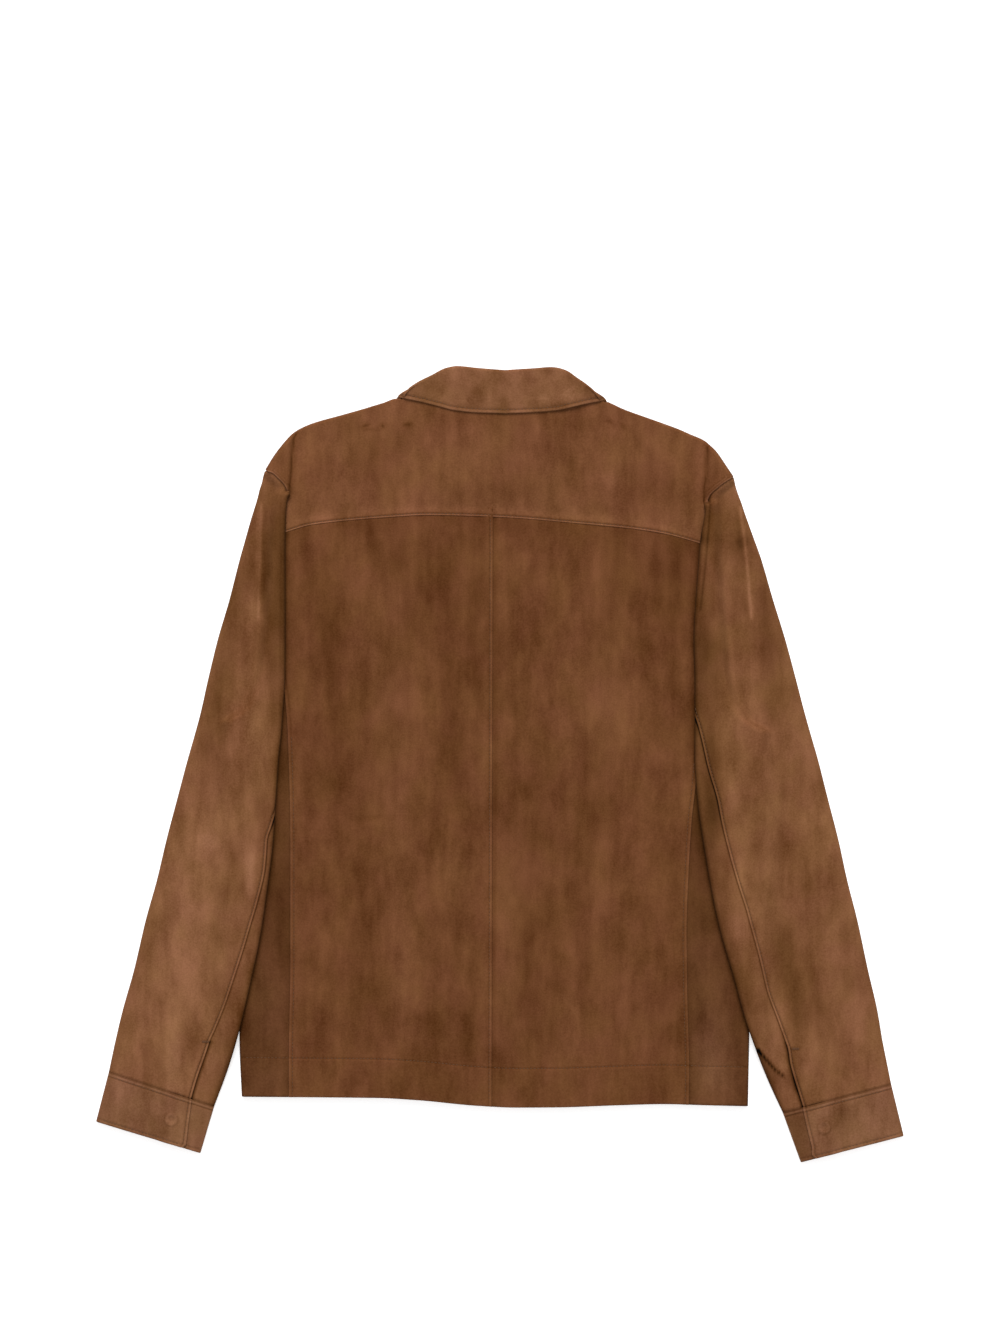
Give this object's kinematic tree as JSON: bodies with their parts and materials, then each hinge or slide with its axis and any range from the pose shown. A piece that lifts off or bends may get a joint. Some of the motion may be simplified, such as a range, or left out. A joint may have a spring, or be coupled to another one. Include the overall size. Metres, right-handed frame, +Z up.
{
  "type": "suede jacket",
  "caption": "Suede jacket laid flat with its back up, collar standing at the top and sleeves drawn down over the body.",
  "frame": {"origin": "centre of the bounding box at its bottom, on the surface the jacket lies on", "axes": "+Z up from the surface through the thin side, +Y towards the collar, +X to the wearer's right, since the back is up"},
  "size_m": [0.789, 0.7786, 0.0131],
  "materials": {
    "body_suede": "matte suede nap",
    "side_suede": "matte suede nap, laid darker",
    "sleeve_suede": "matte suede nap, laid lighter"
  },
  "bodies": {
    "root": {"yoke": "body_suede", "collar": "body_suede", "collar_stand": "body_suede", "back_left": "body_suede", "back_right": "body_suede", "front_left": "body_suede", "front_right": "body_suede", "side_left": "side_suede", "side_right": "side_suede", "sleeve_top_left": "sleeve_suede", "sleeve_top_right": "sleeve_suede", "sleeve_under_left": "sleeve_suede", "sleeve_under_right": "sleeve_suede", "cuff_left": "sleeve_suede", "cuff_right": "sleeve_suede"}
  },
  "joints": []
}
